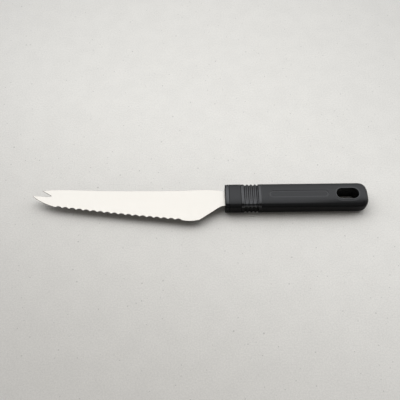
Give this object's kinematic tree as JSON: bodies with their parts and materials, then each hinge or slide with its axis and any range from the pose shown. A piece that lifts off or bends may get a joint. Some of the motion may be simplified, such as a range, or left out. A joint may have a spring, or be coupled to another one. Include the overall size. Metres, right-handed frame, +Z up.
{
  "type": "hard cheese knife",
  "caption": "Kitchen knife for hard cheese with a forked tip, a scalloped edge and a moulded plastic handle with grip rings and a slot to hang it by.",
  "frame": {"origin": "under the middle of the whole knife's box, on the surface that it lies on", "axes": "+X along the knife from the forked tip towards the hang slot, +Y from the cutting edge towards the spine, +Z up out of the face that carries the nameplate recess"},
  "size_m": [0.262, 0.0296, 0.0133],
  "materials": {
    "blade_steel": "satin",
    "handle_plastic": "matte"
  },
  "bodies": {
    "root": {"blade": "blade_steel", "handle": "handle_plastic"}
  },
  "joints": []
}
